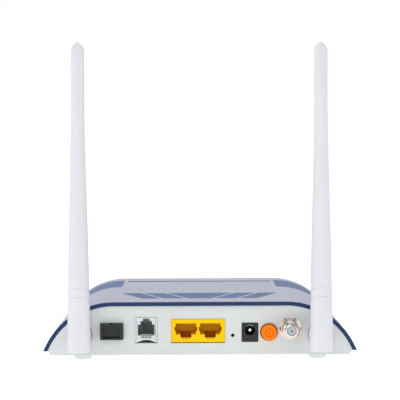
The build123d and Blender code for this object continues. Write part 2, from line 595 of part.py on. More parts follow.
def aerial_pieces():
    foot, blade = aerial_form()
    low = under_split(BAND_Z)
    high = under_split(SLEEVE_Z)
    band_floor = Pos(0, 0, SEAM) * low
    sleeve_floor = Pos(0, 0, SEAM) * high
    collar = (foot & (Pos(0, 0, -SEAM) * low)) & block(50, 90, -30, 5, COLLAR_Z + COLLAR_SEAM, 60)
    whole = foot + (blade & block(50, 90, -30, 5, AERIAL_SECTIONS[0][0], 200))
    band = (whole & (Pos(0, 0, -SEAM) * high)) - band_floor
    sleeve = whole - sleeve_floor
    core = rod_z(AERIAL_X, -PIVOT_OUT, RADIATOR_R + 0.2, SPIGOT_TOP, AERIAL_TIP - 20)
    return {
        "aerial_hinge_housing": aerial_base(foot),
        "aerial_collar": bored(collar),
        "aerial_band": bored(band),
        "aerial_sleeve": bored(sleeve) - core,
        "aerial_radiator": rod_z(AERIAL_X, -PIVOT_OUT, RADIATOR_R, COLLAR_Z + 1, AERIAL_TIP - 24),
        "aerial_hinge_pin": rod_x(-PIVOT_OUT, PIVOT_Z, PIN_R, AERIAL_X - PIN_HALF, AERIAL_X + PIN_HALF),
        "aerial_knuckle": knuckle(),
        "aerial_retaining_ring": retaining_ring(),
    }


def knuckle():
    """Swivel base: a disc and shaft in the panel, and a tongue that carries the hinge pin."""
    y = -PIVOT_OUT
    disc = rod_y(AERIAL_X, PIVOT_Z, DISC_R, -DISC_PROUD, DISC_RECESS - 0.1)
    disc = fillet(disc.edges().group_by(Axis.Y)[0], 0.5)
    disc += rod_y(AERIAL_X, PIVOT_Z, SHAFT_R, DISC_RECESS - 0.2, SHAFT_END)
    disc += centred(AERIAL_X, TONGUE_HALF, y, -DISC_PROUD + 0.6, PIVOT_Z - TONGUE_R, PIVOT_Z + TONGUE_R)
    disc += rod_x(y, PIVOT_Z, TONGUE_R, AERIAL_X - TONGUE_HALF, AERIAL_X + TONGUE_HALF)
    disc -= rod_x(y, PIVOT_Z, PIN_R + PIN_FIT, AERIAL_X - 5, AERIAL_X + 5)
    disc -= rod_y(AERIAL_X, PIVOT_Z, 1.0, -1, SHAFT_END + 1)
    neck = rod_y(AERIAL_X, PIVOT_Z, SHAFT_R + 1, PANEL_WALL + 0.3, PANEL_WALL + 1.3)
    neck -= rod_y(AERIAL_X, PIVOT_Z, SHAFT_R - 0.6, 0, 10)
    return disc - neck


def retaining_ring():
    ring = rod_y(AERIAL_X, PIVOT_Z, SHAFT_R + 1.3, PANEL_WALL + 0.35, PANEL_WALL + 1.25)
    ring -= rod_y(AERIAL_X, PIVOT_Z, SHAFT_R - 0.55, 0, 10)
    return ring - centred(AERIAL_X, 1.6, 0, 10, PIVOT_Z - 8, PIVOT_Z - 1)


def aerial_lead():
    """Thin coaxial lead from the knuckle's shaft to its socket on the board."""
    with BuildLine() as route:
        FilletPolyline(
            (AERIAL_X, SHAFT_END + 0.4, PIVOT_Z), (AERIAL_X, 17.0, PIVOT_Z), (AERIAL_X, 25.0, BOARD_TOP + 3.2),
            (AERIAL_X - 5.0, 36.0, BOARD_TOP + 3.2), (AERIAL_X - 5.0, 48.0, BOARD_TOP + 3.2), radius=3.6
        )
    start = Plane(origin=route.line @ 0, z_dir=route.line % 0)
    lead = sweep(start * Circle(0.6), path=route.line)
    socket = Pos(AERIAL_X - 5.0, 49.0, BOARD_TOP + 1.9) * Box(3.4, 4.0, 3.8)
    return lead + socket


# ---------------------------------------------------------------- all pieces
def build():
    pieces = {
        "bottom_case": bottom_case(),
        "top_cover": top_cover(),
        "case_screws": case_screws(),
        "feet": feet(),
        "rating_label": rating_label(),
        "light_guide": light_guide(),
        "indicator_leds": leds(),
        "main_board": main_board(),
        "board_screws": board_screws(),
        "wifi_shield_can": shield_can(34, 66, 66, 92, 3.2),
        "catv_shield_can": shield_can(46, 58, 16.5, 36, 4.5),
        "main_processor": chip(2, 62, 19, 19, 2.0),
        "heat_sink": heat_sink(),
        "memory_chips": group(chip(-12, 88, 9, 13, 1.2), chip(4, 88, 9, 13, 1.2)),
        "flash_chip": chip(20, 86, 8, 6, 1.2),
        "network_transformer": chip(-1.15, 30, 26, 12, 6.0),
        "telephone_line_chip": chip(-31, 26, 8, 8, 1.2),
        "capacitors": capacitors(),
        "power_inductors": inductors(),
        "sc_adapter": sc_adapter(),
        "sc_ferrule_sleeve": sc_ferrule_sleeve(),
        "sc_dust_cap": sc_dust_cap(),
        "fibre_plug": fibre_plug(),
        "fibre_pigtail": fibre_pigtail(),
        "fibre_clips": fibre_clips(),
        "optical_module": optical_module(),
        "phone_socket_housing": phone_housing(),
        "phone_socket_contacts": phone_contacts(),
        "network_socket_housing": lan_housing(),
        "network_socket_contacts": lan_contacts(),
        "power_jack_housing": jack_housing(),
        "power_jack_pin": jack_pin(),
        "power_jack_spring": jack_spring(),
        "power_button": power_button(),
        "power_switch": power_switch(),
        "reset_switch": reset_switch(),
        "reset_plunger": reset_plunger(),
        "coax_socket_body": coax_body(),
        "coax_socket_nut": coax_nut(),
        "coax_socket_dielectric": coax_dielectric(),
        "coax_socket_contact": coax_contact(),
    }
    aerial = aerial_pieces()
    aerial["aerial_lead"] = aerial_lead()
    for name, solid in aerial.items():
        pieces[name + "_right"] = solid
        pieces[name + "_left"] = mirrored(solid)
    return pieces


os.makedirs("parts", exist_ok=True)
for piece_name, piece in build().items():
    save(piece, piece_name)
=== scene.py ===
import json
import math

import bpy
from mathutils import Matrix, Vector


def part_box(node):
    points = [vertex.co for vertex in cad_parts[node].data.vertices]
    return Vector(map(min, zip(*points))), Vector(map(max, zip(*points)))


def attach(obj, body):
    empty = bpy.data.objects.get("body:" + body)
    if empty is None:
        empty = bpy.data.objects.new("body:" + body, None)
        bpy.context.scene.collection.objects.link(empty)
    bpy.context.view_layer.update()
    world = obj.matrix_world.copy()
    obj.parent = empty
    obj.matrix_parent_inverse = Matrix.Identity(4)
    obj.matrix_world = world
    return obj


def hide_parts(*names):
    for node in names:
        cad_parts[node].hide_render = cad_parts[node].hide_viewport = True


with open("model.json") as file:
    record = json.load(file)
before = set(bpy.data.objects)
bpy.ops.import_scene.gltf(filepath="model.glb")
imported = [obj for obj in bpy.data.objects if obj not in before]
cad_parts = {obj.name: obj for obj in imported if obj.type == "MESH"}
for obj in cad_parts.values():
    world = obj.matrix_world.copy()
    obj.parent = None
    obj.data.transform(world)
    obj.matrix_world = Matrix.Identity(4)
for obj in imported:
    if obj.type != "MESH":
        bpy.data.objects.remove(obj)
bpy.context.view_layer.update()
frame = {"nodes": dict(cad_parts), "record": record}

# Looks of the optical network terminal. Lengths are metres, places come from the frame,
# and MM turns the millimetres that people quote for such parts into metres.
MM = 0.001
NODES = frame["nodes"]


# ---------------------------------------------------------------- small helpers
def smoothstep(low, high, value):
    """0 at low, 1 at high, with a soft start and end. It falls where high is below low."""
    share = min(max((value - low) / (high - low), 0.0), 1.0)
    return share * share * (3 - 2 * share)


def straight(points, position):
    """Straight-line value at position through (position, value) points."""
    for (a, start), (b, end) in zip(points, points[1:]):
        if position <= b:
            return start + (end - start) * max(0.0, (position - a) / (b - a))
    return points[-1][1]


def new_piece(name, points, faces, body, slot, sharp=35):
    """A mesh piece in the row frame that rides on a CAD body."""
    mesh = bpy.data.meshes.new(name)
    mesh.from_pydata([tuple(p) for p in points], [], faces)
    mesh.validate()
    mesh.shade_smooth()
    mesh.set_sharp_from_angle(angle=math.radians(sharp))
    piece = bpy.data.objects.new(name, mesh)
    bpy.context.scene.collection.objects.link(piece)
    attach(piece, body)
    mesh.materials.append(FINISHES[slot])
    return piece


def grid_faces(rows, columns):
    """Quads between successive rings of points."""
    faces = []
    for row in range(rows - 1):
        for column in range(columns):
            right = (column + 1) % columns
            faces.append((
                row * columns + column,
                row * columns + right,
                (row + 1) * columns + right,
                (row + 1) * columns + column,
            ))
    return faces


def ring_y(centre, y, radius, segments, groove=None):
    """Points of a ring about an axis along Y, cut in by groove(y, angle) where one is given."""
    points = []
    for step in range(segments):
        angle = 2 * math.pi * step / segments
        r = radius - groove(y, angle) if groove else radius
        points.append(Vector((centre.x + r * math.cos(angle), y, centre.z + r * math.sin(angle))))
    return points


def centre_of(node):
    low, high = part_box(node)
    return (low + high) / 2


# ---------------------------------------------------------------- material helpers
class Shader:
    """A node material with the few building blocks that all the finishes here share."""

    def __init__(self, name):
        self.material = bpy.data.materials.new(name)
        self.material.use_nodes = True
        self.tree = self.material.node_tree
        self.surface = self.tree.nodes["Principled BSDF"]
        self.place = self.tree.nodes.new("ShaderNodeTexCoord").outputs["Object"]

    def node(self, kind, **settings):
        made = self.tree.nodes.new(kind)
        for key, value in settings.items():
            setattr(made, key, value)
        return made

    def link(self, source, target):
        self.tree.links.new(source, target)

    def drive(self, key, source):
        """Feed an input of the surface shader."""
        self.link(source, self.surface.inputs[key])

    def fixed(self, **sockets):
        """Set constant inputs on the surface shader."""
        for key, value in sockets.items():
            self.surface.inputs[key.replace("_", " ")].default_value = value

    def noise(self, scale, detail=4.0, roughness=0.55, stretch=(1, 1, 1)):
        mapping = self.node("ShaderNodeMapping")
        mapping.inputs["Scale"].default_value = stretch
        texture = self.node("ShaderNodeTexNoise")
        texture.inputs["Scale"].default_value = scale
        texture.inputs["Detail"].default_value = detail
        texture.inputs["Roughness"].default_value = roughness
        self.link(self.place, mapping.inputs["Vector"])
        self.link(mapping.outputs["Vector"], texture.inputs["Vector"])
        return texture.outputs["Fac"]

    def ramp(self, value, stops):
        ramp = self.node("ShaderNodeValToRGB")
        elements = ramp.color_ramp.elements
        while len(elements) < len(stops):
            elements.new(0.5)
        for element, (position, colour) in zip(elements, stops):
            element.position = position
            element.color = (*colour, 1.0)
        self.link(value, ramp.inputs["Fac"])
        return ramp.outputs["Color"]

    def spread(self, value, low, high, start=0.3, end=0.7):
        span = self.node("ShaderNodeMapRange")
        span.inputs["From Min"].default_value = start
        span.inputs["From Max"].default_value = end
        span.inputs["To Min"].default_value = low
        span.inputs["To Max"].default_value = high
        self.link(value, span.inputs["Value"])
        return span.outputs["Result"]

    def math(self, kind, first, second):
        worked = self.node("ShaderNodeMath", operation=kind)
        for socket, value in zip(worked.inputs, (first, second)):
            if isinstance(value, (int, float)):
                socket.default_value = value
            else:
                self.link(value, socket)
        return worked.outputs[0]

    def above(self, value, limit):
        return self.math("GREATER_THAN", value, limit)

    def below(self, value, limit):
        return self.math("LESS_THAN", value, limit)

    def distance(self, value, place):
        """How far a value lies from a place, on either side of it."""
        return self.math("ABSOLUTE", self.math("SUBTRACT", value, place), 0.0)

    def near(self, value, place, reach):
        """A mask that is on where a value is within reach of a place."""
        close = self.math("COMPARE", value, place)
        close.node.inputs[2].default_value = reach
        return close

    def all_of(self, *masks):
        """A mask that is on where every one of these masks is on."""
        joined = masks[0]
        for mask in masks[1:]:
            joined = self.math("MULTIPLY", joined, mask)
        return joined

    def clouded(self, clouds, colour, weak, strong, start=0.25, end=0.75):
        """A colour that drifts between two strengths with the clouds."""
        return self.ramp(clouds, [(start, shade(colour, weak)), (end, shade(colour, strong))])

    def mix(self, share, first, second):
        """Blend two colours by share."""
        blend = self.node("ShaderNodeMix", data_type="RGBA")
        self.link(share, blend.inputs["Factor"])
        for socket, value in zip((blend.inputs[6], blend.inputs[7]), (first, second)):
            if isinstance(value, tuple):
                socket.default_value = (*value, 1.0)
            else:
                self.link(value, socket)
        return blend.outputs[2]

    def bump(self, height, strength, distance, under=None):
        bump = self.node("ShaderNodeBump")
        bump.inputs["Strength"].default_value = strength
        bump.inputs["Distance"].default_value = distance
        self.link(height, bump.inputs["Height"])
        if under is not None:
            self.link(under, bump.inputs["Normal"])
        return bump.outputs["Normal"]

    def axis(self, name, source=None):
        parts = self.node("ShaderNodeSeparateXYZ")
        self.link(source or self.place, parts.inputs[0])
        return parts.outputs[name]


def shade(colour, factor):
    """A colour made lighter or darker, no channel past 1."""
    return tuple(min(1.0, c * factor) for c in colour)


GRAIN_DEPTH = 0.012 * MM


def moulded(name, colour, roughness, grain=0.35 * MM, mottle=0.03, **fixed):
    """Moulded plastic: faint clouding, a fine spark-eroded grain and a roughness that wanders."""
    made = Shader(name)
    clouds = made.noise(38.0, 5.0)
    made.drive("Base Color", made.clouded(clouds, colour, 1 - mottle, 1 + mottle))
    fine = made.noise(1.0 / grain, 3.0, 0.6)
    made.drive("Roughness", made.spread(made.noise(90.0, 3.0), roughness * 0.88, roughness * 1.12))
    made.drive("Normal", made.bump(fine, 0.35, GRAIN_DEPTH))
    made.fixed(**fixed)
    return made.material


def metal(name, colour, roughness, streak=(1, 1, 1), scale=900.0):
    """Plated or drawn metal with fine tool marks and slightly uneven tone."""
    made = Shader(name)
    made.fixed(Metallic=1.0)
    tone = made.noise(160.0, 4.0)
    made.drive("Base Color", made.clouded(tone, colour, 0.88, 1.0, 0.3, 0.7))
    marks = made.noise(scale, 3.0, 0.6, streak)
    made.drive("Roughness", made.spread(marks, roughness * 0.7, roughness * 1.4))
    made.drive("Normal", made.bump(marks, 0.12, 0.00002))
    return made.material


# ---------------------------------------------------------------- finishes of the case
PANEL_WHITE = (0.640, 0.672, 0.662)
AERIAL_WHITE = (0.700, 0.700, 0.745)
NAVY = (0.014, 0.040, 0.130)
COAT = (0.60, 0.615, 0.72)
SIDE_BLUE = (0.225, 0.290, 0.480)
VENT_BLUE = (0.290, 0.360, 0.600)
BRIDGE_PALE = (0.97, 0.98, 1.0)
COATED_SLOPE = 0.15
SIDE_PANEL_HALF_START = 49.0 * MM
SIDE_PANEL_DEPTH = (70.5 * MM, 105.0 * MM)
VENT_ROWS = 9
VENT_START = 16.1 * MM
VENT_PITCH = 2.8 * MM
VENT_SLOT = 1.5 * MM
VENT_REACH = (34.6 * MM, 46.8 * MM)
BRIDGE_LINES = ((8.2 * MM, 20.1 * MM), (22.8 * MM, 34.3 * MM))
BRIDGE_HALF = 0.5 * MM
VENT_TINT_DEPTH = 0.8 * MM


def vent_masks(made, x, y, cover_front):
    """Masks of the tinted vent field, whose ends step out row by row, and of the pale bridges in it."""
    rib = (VENT_PITCH - VENT_SLOT) / 2
    across = made.distance(x, 0.0)
    behind = made.math("SUBTRACT", y, cover_front + VENT_START - rib)
    row = made.math("FLOOR", made.math("DIVIDE", behind, VENT_PITCH), 0.0)
    in_rows = made.all_of(made.above(row, -0.5), made.below(row, VENT_ROWS - 0.5))

    def stepped(near, far):
        step = (far - near) / (VENT_ROWS - 1)
        return made.math("ADD", made.math("MULTIPLY", row, step), near)

    field = made.all_of(made.below(across, stepped(*VENT_REACH)), in_rows)
    inner, outer = (made.below(made.distance(across, stepped(*line)), BRIDGE_HALF) for line in BRIDGE_LINES)
    return field, made.all_of(made.math("MAXIMUM", inner, outer), in_rows)


def cover_finish():
    """Navy shell. Faces that look upwards carry a satin silver-lavender coat and blue fields."""
    made = Shader("cover_two_tone")
    low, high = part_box("top_cover")
    x, y, z = (made.axis(name) for name in "XYZ")
    normal = made.tree.nodes["Texture Coordinate"].outputs["Normal"]
    coated = made.above(made.axis("Z", normal), COATED_SLOPE)
    outside = made.above(made.distance(x, 0.0), SIDE_PANEL_HALF_START)
    behind = made.above(y, low.y + SIDE_PANEL_DEPTH[0])
    before = made.below(y, low.y + SIDE_PANEL_DEPTH[1])
    vents, bridges = vent_masks(made, x, y, low.y)
    clouds = made.noise(30.0, 5.0)
    flakes = made.noise(5200.0, 2.0, 0.7)
    coat = made.clouded(clouds, COAT, 0.97, 1.03, 0.2, 0.8)
    sparkle = made.mix(made.spread(flakes, 0.0, 0.22, 0.5, 0.8), coat, shade(COAT, 1.5))
    navy = made.clouded(clouds, NAVY, 0.92, 1.08, 0.2, 0.8)
    blue = made.clouded(clouds, SIDE_BLUE, 0.95, 1.05, 0.2, 0.8)
    tinted = made.clouded(clouds, VENT_BLUE, 0.95, 1.05, 0.2, 0.8)
    colour = made.mix(made.all_of(outside, behind, before), sparkle, blue)
    colour = made.mix(coated, navy, colour)
    colour = made.mix(made.all_of(vents, made.above(z, high.z - VENT_TINT_DEPTH)), colour, tinted)
    colour = made.mix(made.all_of(bridges, coated), colour, BRIDGE_PALE)
    made.drive("Base Color", colour)
    made.drive("Roughness", made.spread(made.noise(70.0, 3.0), 0.40, 0.48))
    fine = made.bump(flakes, 0.15, 0.008 * MM)
    made.drive("Normal", made.bump(made.noise(24.0, 2.0), 0.12, 0.08 * MM, fine))
    made.fixed(Specular_IOR_Level=0.22)
    return made.material


def panel_finish():
    """Pale case plastic: even grain, a breath of translucency and faint flow marks."""
    made = Shader("case_pale_plastic")
    clouds = made.noise(26.0, 5.0)
    made.drive("Base Color", made.clouded(clouds, PANEL_WHITE, 0.975, 1.02))
    grain = made.noise(2600.0, 3.0, 0.65)
    flow = made.noise(55.0, 3.0, 0.5, (0.35, 1.0, 2.2))
    made.drive("Roughness", made.spread(flow, 0.40, 0.50))
    fine = made.bump(grain, 0.25, 0.000014)
    made.drive("Normal", made.bump(flow, 0.06, 0.00008, fine))
    made.fixed(Subsurface_Weight=0.06, Subsurface_Scale=0.0015, Specular_IOR_Level=0.35)
    return made.material


def aerial_finish():
    """Soft-touch lavender-white plastic with a barely visible moulding grain along its length."""
    made = Shader("aerial_lavender_white")
    clouds = made.noise(34.0, 4.0)
    made.drive("Base Color", made.clouded(clouds, AERIAL_WHITE, 0.985, 1.015))
    grain = made.noise(2100.0, 3.0, 0.6, (1.0, 1.0, 0.45))
    made.drive("Roughness", made.spread(grain, 0.44, 0.54))
    made.drive("Normal", made.bump(grain, 0.05, 0.000012))
    made.fixed(Specular_IOR_Level=0.3)
    return made.material


def board_finish():
    """Green solder mask with copper traces that show through as paler, raised lines."""
    made = Shader("board_solder_mask")
    traces = made.node("ShaderNodeTexVoronoi", distance="MANHATTAN", feature="DISTANCE_TO_EDGE")
    traces.inputs["Scale"].default_value = 330.0
    made.link(made.place, traces.inputs["Vector"])
    lines = made.below(traces.outputs["Distance"], 0.07)
    clouds = made.noise(60.0, 3.0)
    mask = made.ramp(clouds, [(0.3, (0.006, 0.085, 0.035)), (0.7, (0.009, 0.115, 0.048))])
    made.drive("Base Color", made.mix(lines, mask, (0.02, 0.20, 0.085)))
    made.drive("Normal", made.bump(lines, 0.3, 0.00003))
    made.drive("Roughness", made.spread(clouds, 0.24, 0.34))
    made.fixed(Coat_Weight=0.3, Coat_Roughness=0.15)
    return made.material


def clear_finish(name, colour, roughness, transmission):
    """Clear moulding with a wavy skin and slight clouding."""
    made = Shader(name)
    clouds = made.noise(120.0, 3.0)
    made.drive("Base Color", made.clouded(clouds, colour, 0.94, 1.0, 0.3, 0.7))
    made.drive("Roughness", made.spread(clouds, roughness * 0.8, roughness * 1.2))
    made.drive("Normal", made.bump(made.noise(240.0, 3.0), 0.15, 0.00004))
    made.fixed(Transmission_Weight=transmission, IOR=1.49)
    return made.material


# ---------------------------------------------------------------- finishes of the sockets and the button
SOCKET_PITCH = 13.97 * MM
GROOVE_FROM, GROOVE_TO = 5.9 * MM, 6.7 * MM
NOTCH_TOP, NOTCH_HALF = 4.35 * MM, 3.3 * MM
PHONE_PALE = (0.73, 0.80, 0.81)
# colour of the painted shade deep in the phone socket's hollow
PHONE_PAINTED_SHADE = (0.36, 0.39, 0.40)
MARK_RADIUS = 2.2 * MM
MARK_HALF_WIDTH = 0.3 * MM
MARK_BAR_HALF = 1.0 * MM


def yellow_finish():
    """Yellow socket housing. The side grooves and the latch notch carry painted shade, browner behind the
    front wall.
    """
    made = Shader("socket_yellow_plastic")
    low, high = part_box("network_socket_housing")
    across = made.distance(made.axis("X"), (low.x + high.x) / 2)
    beside = made.distance(across, SOCKET_PITCH / 2)
    groove = made.all_of(made.above(beside, GROOVE_FROM), made.below(beside, GROOVE_TO))
    notch = made.all_of(made.below(made.axis("Z"), low.z + NOTCH_TOP), made.below(beside, NOTCH_HALF))
    behind = made.spread(made.axis("Y"), 0.0, 1.0, low.y + 0.7 * MM, low.y + 2.0 * MM)
    face = made.ramp(made.noise(38.0, 5.0), [(0.25, (0.98, 0.563, 0.0)), (0.75, (1.0, 0.587, 0.0))])
    # painted shade: the grooves and the latch notch are darkened to brown behind the front wall
    shadow = made.all_of(made.math("MAXIMUM", groove, notch), behind)
    made.drive("Base Color", made.mix(shadow, face, (0.60, 0.20, 0.0)))
    made.drive("Roughness", made.spread(made.noise(90.0, 3.0), 0.30, 0.38))
    made.drive("Normal", made.bump(made.noise(2800.0, 3.0), 0.3, GRAIN_DEPTH))
    made.fixed(Specular_IOR_Level=0.10)
    return made.material


def phone_finish():
    """Pale smoky socket with painted shade: its hollow is darker than its face."""
    made = Shader("phone_pale_smoke")
    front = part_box("phone_socket_housing")[0].y
    clouds = made.noise(120.0, 3.0)
    face = made.clouded(clouds, PHONE_PALE, 0.95, 1.0, 0.3, 0.7)
    # painted shade: the colour darkens from just behind the front wall into the hollow
    behind = made.spread(made.axis("Y"), 0.0, 1.0, front + 0.9 * MM, front + 4.0 * MM)
    made.drive("Base Color", made.mix(behind, face, PHONE_PAINTED_SHADE))
    made.drive("Roughness", made.spread(clouds, 0.20, 0.30))
    made.drive("Normal", made.bump(made.noise(240.0, 3.0), 0.15, 0.04 * MM))
    made.fixed(Transmission_Weight=0.10, IOR=1.49)
    return made.material


def label_finish():
    """A blank film label with a fine grey frame printed near its edge."""
    made = Shader("blank_label_film")
    low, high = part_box("rating_label")
    margin, half_line = 1.6 * MM, 0.2 * MM
    edges, insides = [], []
    for name, start, end in (("X", low.x, high.x), ("Y", low.y, high.y)):
        along = made.distance(made.axis(name), (start + end) / 2)
        half = (end - start) / 2 - margin
        edges.append(made.near(along, half, half_line))
        insides.append(made.below(along, half + half_line))
    line = made.all_of(made.math("MAXIMUM", *edges), *insides)
    paper = made.ramp(made.noise(400.0, 3.0), [(0.3, (0.70, 0.71, 0.72)), (0.7, (0.76, 0.77, 0.78))])
    made.drive("Base Color", made.mix(line, paper, (0.22, 0.23, 0.25)))
    made.drive("Roughness", made.spread(made.noise(180.0, 3.0), 0.28, 0.38))
    return made.material


def button_finish():
    """Orange plastic with the power mark printed in a deeper orange: a ring and a bar."""
    made = Shader("button_orange_plastic")
    centre = centre_of("power_button")
    x = made.math("SUBTRACT", made.axis("X"), centre.x)
    z = made.math("SUBTRACT", made.axis("Z"), centre.z)
    squares = made.math("ADD", made.math("MULTIPLY", x, x), made.math("MULTIPLY", z, z))
    ring = made.near(made.math("SQRT", squares, 0.0), MARK_RADIUS, MARK_HALF_WIDTH)
    bar = made.all_of(made.below(made.distance(x, 0.0), MARK_HALF_WIDTH),
                      made.below(made.distance(z, 0.0), MARK_BAR_HALF))
    clouds = made.noise(60.0, 4.0)
    plain = made.ramp(clouds, [(0.25, (0.98, 0.200, 0.0)), (0.75, (1.0, 0.215, 0.0))])
    mark = made.ramp(clouds, [(0.25, (0.72, 0.105, 0.0)), (0.75, (0.76, 0.120, 0.0))])
    made.drive("Base Color", made.mix(made.math("MAXIMUM", ring, bar), plain, mark))
    made.drive("Roughness", made.spread(made.noise(90.0, 3.0), 0.32, 0.42))
    made.drive("Normal", made.bump(made.noise(2800.0, 3.0), 0.3, GRAIN_DEPTH))
    made.fixed(Specular_IOR_Level=0.12)
    return made.material


# ---------------------------------------------------------------- the finish of each material slot
FINISHES = {
    "panel_white": panel_finish(),
    "cover_navy": cover_finish(),
    "aerial_white": aerial_finish(),
    "board_green": board_finish(),
    "label_film": label_finish(),
    "screw_steel": metal("screw_zinc_steel", (0.62, 0.62, 0.63), 0.32),
    "foot_clear": moulded("foot_pale_elastomer", (0.72, 0.77, 0.755), 0.34,
                          Subsurface_Weight=0.15, Subsurface_Scale=0.002, Specular_IOR_Level=0.3),
    "guide_clear": clear_finish("guide_smoked_acrylic", (0.16, 0.165, 0.18), 0.38, 0.25),
    "led_white": moulded("led_package", (0.80, 0.77, 0.60), 0.30, Coat_Weight=0.4),
    "shield_tin": metal("shield_tin_plate", (0.66, 0.67, 0.68), 0.30, (1, 8, 1)),
    "chip_black": moulded("chip_epoxy", (0.028, 0.028, 0.030), 0.48),
    "heat_sink_aluminium": metal("heat_sink_extrusion", (0.60, 0.61, 0.63), 0.36, (12, 1, 1)),
    "capacitor_can": metal("capacitor_sleeve", (0.30, 0.33, 0.42), 0.30),
    "ferrite_grey": moulded("inductor_ferrite", (0.09, 0.09, 0.10), 0.55),
    "adapter_green": moulded("adapter_green_plastic", (0.006, 0.085, 0.030), 0.28, Coat_Weight=0.3),
    "socket_white": moulded("white_ceramic_plastic", (0.80, 0.80, 0.78), 0.26),
    "cap_black": moulded("cap_soft_black", (0.030, 0.031, 0.033), 0.45,
                         grain=0.3 * MM, mottle=0.10, Specular_IOR_Level=0.18),
    "fibre_jacket": moulded("fibre_yellow_jacket", (0.80, 0.62, 0.08), 0.30),
    "phone_grey": phone_finish(),
    "contact_gold": metal("contact_gold_flash", (0.86, 0.62, 0.27), 0.20, (1, 10, 1)),
    "socket_yellow": yellow_finish(),
    "jack_black": moulded("jack_black_plastic", (0.026, 0.027, 0.029), 0.36,
                          mottle=0.08, Specular_IOR_Level=0.18),
    "contact_nickel": metal("contact_nickel_plate", (0.80, 0.79, 0.77), 0.14),
    "button_orange": button_finish(),
    "coax_nickel": metal("coax_bright_nickel", (0.67, 0.61, 0.55), 0.12, (1, 6, 1), 700.0),
    "dielectric_white": moulded("coax_dielectric", (0.42, 0.46, 0.53), 0.38,
                                Subsurface_Weight=0.2, Subsurface_Scale=0.001),
    "radiator_brass": metal("radiator_drawn_brass", (0.80, 0.58, 0.28), 0.25, (6, 6, 1)),
    "lead_black": moulded("lead_black_jacket", (0.025, 0.025, 0.027), 0.42),
}


def finish_nodes():
    """Every CAD node takes the finish of its own material slot."""
    for entry in frame["record"]["subparts"]:
        node = NODES[entry["node"]]
        node.data.materials.clear()
        node.data.materials.append(FINISHES[entry["material_slot"]])


# ---------------------------------------------------------------- aerials, in millimetres
# radius of the round rod at each height
AERIAL_RADIUS = [(44.2, 6.03), (58, 5.8), (69, 5.52), (81, 5.2), (92, 4.85), (103, 4.5), (115, 4.15),
                 (126, 3.85), (137, 3.7), (149, 3.62), (161, 3.62), (173, 3.68), (182.2, 3.7)]
FACET_START = 63.0
# each flat: the way it faces, in degrees about the axis, and its distance from the axis at the tip
FACETS = [(-68, 2.45), (-20, 3.30), (-138, 2.70), (90, 2.68), (46, 2.82), (134, 2.82)]
RIDGE_SOFTNESS = 0.16
TIP_Z = 182.2
TIP_FALL = 5.2
SPLIT_Z = 44.2
SPLIT_SLOPE = 0.5
SEAM = 0.05
AERIAL_SEGMENTS = 144
SIDE_RINGS = 139
TIP_RINGS = 12
TIP_BLUNTNESS = 0.05


def soft_minimum(first, second, softness):
    """The lower of two values, with a rounded change-over."""
    gap = max(softness - abs(first - second), 0.0) / softness
    return min(first, second) - gap * gap * softness / 4


def sleeve_radius(angle, z):
    """Radius of the aerial at an angle: a tapered round rod with flats planed along its upper part."""
    start_radius = straight(AERIAL_RADIUS, FACET_START)
    share = (z - FACET_START) / (TIP_Z - FACET_START)
    radius = straight(AERIAL_RADIUS, z)
    for degrees, end_distance in FACETS:
        distance = start_radius + (end_distance - start_radius) * share
        facing = math.cos(angle - math.radians(degrees))
        if share > -0.05 and facing > 0.2:
            radius = soft_minimum(radius, distance / facing, RIDGE_SOFTNESS)
    return radius


def tip_share(z):
    """Share of the full width left at the rounded point."""
    fall = min(max((TIP_Z - z) / TIP_FALL, 0.0), 1.0)
    return TIP_BLUNTNESS + (1 - TIP_BLUNTNESS) * (1 - (1 - fall) ** 2) ** 0.75


def aerial_sleeve(side):
    """The blade above the ring: round at its slanted foot, planed flats above and a rounded point."""
    node = "aerial_sleeve_" + side
    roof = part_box(node)[1].z
    centre = centre_of("aerial_radiator_" + side)
    front_run = (centre.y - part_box("aerial_hinge_housing_" + side)[0].y) / MM
    top = TIP_Z - TIP_FALL
    angles = [2 * math.pi * step / AERIAL_SEGMENTS for step in range(AERIAL_SEGMENTS)]
    points = []
    for row in range(SIDE_RINGS):
        for angle in angles:
            run = front_run + AERIAL_RADIUS[0][1] * math.sin(angle)
            bottom = SPLIT_Z - SPLIT_SLOPE * run + SEAM
            z = bottom + (top - bottom) * row / (SIDE_RINGS - 1)
            radius = sleeve_radius(angle, z)
            points.append((radius * math.cos(angle), radius * math.sin(angle), z))
    for row in range(1, TIP_RINGS + 1):
        z = top + TIP_FALL * (1 - (1 - row / TIP_RINGS) ** 2)
        left = tip_share(z)
        for angle in angles:
            radius = sleeve_radius(angle, z)
            points.append((radius * math.cos(angle) * left, radius * math.sin(angle) * left ** 0.35, z))
    points = [(centre.x + x * MM, centre.y + y * MM, min(z * MM, roof)) for x, y, z in points]
    faces = grid_faces(SIDE_RINGS + TIP_RINGS, AERIAL_SEGMENTS)
    faces.append(tuple(range(len(points) - AERIAL_SEGMENTS, len(points))))
    faces.append(tuple(reversed(range(AERIAL_SEGMENTS))))
    piece = new_piece("aerial_blade_" + side, points, faces, "aerial_" + side, "aerial_white", 50)
    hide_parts(node)


# ---------------------------------------------------------------- coaxial socket
BARREL_RADIUS = 4.74 * MM
BARREL_BORE = 2.62 * MM
LEAD_IN = 1.1 * MM
THREAD_PITCH = 0.79 * MM
THREAD_DEPTH = 0.42 * MM
THREAD_FADE = (0.6 * MM, 0.5 * MM)
THREAD_ROWS = 150
BARREL_SEGMENTS = 96


